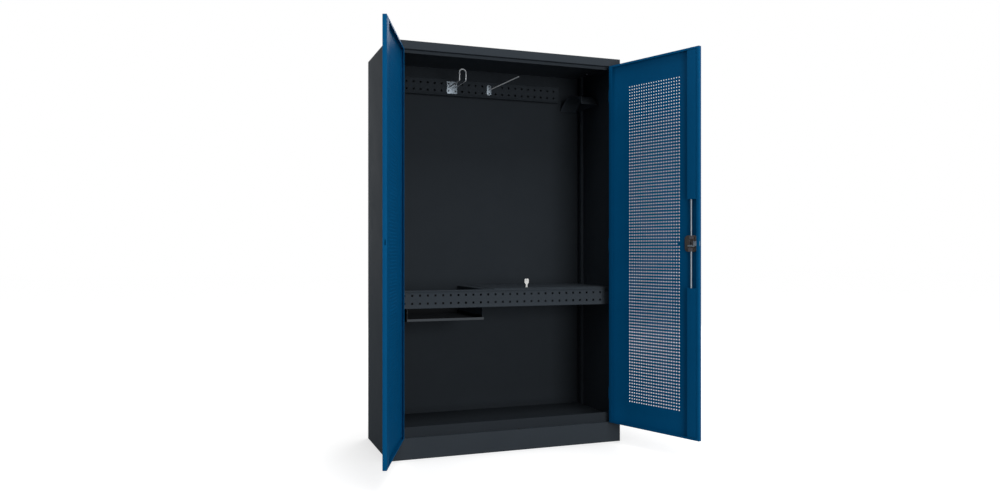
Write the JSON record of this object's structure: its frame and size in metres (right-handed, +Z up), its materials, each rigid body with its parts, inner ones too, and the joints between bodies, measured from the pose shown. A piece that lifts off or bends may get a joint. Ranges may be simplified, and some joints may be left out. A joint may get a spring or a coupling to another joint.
{
  "type": "modular cabinet with pegboard doors",
  "caption": "Tall sheet-steel cabinet with perforated doors, rod lock, shelf, tray, perforated rails, tool hooks and a hose saddle.",
  "frame": {"origin": "on the floor below the middle of the body", "axes": "+X to the right seen from the front, +Y into the depth, +Z up"},
  "size_m": [1.4845, 1.0243, 1.95],
  "materials": {
    "body_paint": "anthracite grey powder coat, satin",
    "door_paint": "gentian blue powder coat, satin",
    "tray_paint": "black powder coat, satin",
    "zinc_plate": "bright zinc-plated steel",
    "case_grey": "die-cast lock case, dull grey",
    "black_plastic": "black glass-filled nylon",
    "cylinder_metal": "nickel-plated lock cylinder"
  },
  "bodies": {
    "cabinet": {"side_panel_right": "body_paint", "side_panel_left": "body_paint", "back_panel": "body_paint", "top_panel": "body_paint", "floor_pan": "body_paint", "plinth_front": "body_paint", "plinth_rear": "body_paint", "floor_bearer": "body_paint", "roof_bolts": "zinc_plate", "upright_front_right": "body_paint", "upright_front_left": "body_paint", "upright_rear_right": "body_paint", "upright_rear_left": "body_paint", "upper_rail": "body_paint", "upper_rail_standoffs": "body_paint", "middle_rail": "body_paint", "middle_rail_bracket_right": "body_paint", "middle_rail_bracket_left": "body_paint", "shelf": "body_paint", "shelf_clips": "body_paint", "partition": "body_paint", "tray": "tray_paint", "double_hook_plate": "zinc_plate", "double_hook_wire": "zinc_plate", "single_hook_plate": "zinc_plate", "single_hook_pin": "zinc_plate", "hook_screws": "zinc_plate", "saddle_plate": "body_paint", "saddle_arch": "body_paint", "strike_bush_upper": "black_plastic", "strike_bush_lower": "black_plastic", "hinge_frame_leaves_right": "body_paint", "hinge_frame_leaves_left": "body_paint", "hinge_pins_right": "zinc_plate", "hinge_pins_left": "zinc_plate"},
    "door_right": {"door_skin_right": "door_paint", "hinge_door_leaves_right": "door_paint", "rod_channel_upper": "door_paint", "rod_channel_lower": "door_paint", "rod_guides": "black_plastic", "lock_case": "case_grey", "handle_plate": "black_plastic"},
    "door_left": {"door_skin_left": "door_paint", "hinge_door_leaves_left": "door_paint", "door_stiffener_left": "door_paint"},
    "handle": {"handle_grip": "black_plastic", "lock_cylinder": "cylinder_metal", "spindle": "zinc_plate", "pinion": "zinc_plate"},
    "plug": {"cylinder_plug": "cylinder_metal"},
    "upper_rod": {"rod_upper": "zinc_plate", "rack_upper": "zinc_plate"},
    "lower_rod": {"rod_lower": "zinc_plate", "rack_lower": "zinc_plate"},
    "latch": {"latch_bolt": "zinc_plate"},
    "key": {"shelf_key": "zinc_plate"}
  },
  "joints": [
    {"name": "door_right_hinge", "type": "hinge", "parent": "cabinet", "child": "door_right", "pos_m": [0.5485, -0.2542, 1.005], "axis": [0, 0, 1], "range_deg": [-110.5, 0]},
    {"name": "door_left_hinge", "type": "hinge", "parent": "cabinet", "child": "door_left", "pos_m": [-0.5485, -0.2542, 1.005], "axis": [0, 0, 1], "range_deg": [0, 110.5]},
    {"name": "handle_turn", "type": "hinge", "parent": "door_right", "child": "handle", "pos_m": [0.71949, -0.72354, 1.005], "axis": [-0.9367, -0.3502, 0], "range_deg": [0, 90]},
    {"name": "plug_turn", "type": "hinge", "parent": "handle", "child": "plug", "pos_m": [0.7401, -0.71583, 1.005], "axis": [-0.9367, -0.3502, 0], "range_deg": [0, 90]},
    {"name": "upper_rod_slide", "type": "slide", "parent": "door_right", "child": "upper_rod", "axis": [0, 0, 1], "range_m": [0, 0.01257]},
    {"name": "lower_rod_slide", "type": "slide", "parent": "door_right", "child": "lower_rod", "axis": [0, 0, -1], "range_m": [0, 0.01257]},
    {"name": "latch_slide", "type": "slide", "parent": "door_right", "child": "latch", "axis": [0.3502, -0.9367, 0], "range_m": [0, 0.01257]},
    {"name": "key_lift", "type": "slide", "parent": "cabinet", "child": "key", "axis": [0, 0, 1], "range_m": [0, 0.03]}
  ],
  "couplings": [
    {"joint": "handle_turn", "follows": "upper_rod_slide", "rad_per_m": 125},
    {"joint": "lower_rod_slide", "follows": "upper_rod_slide", "ratio": 1},
    {"joint": "latch_slide", "follows": "upper_rod_slide", "ratio": 1}
  ]
}
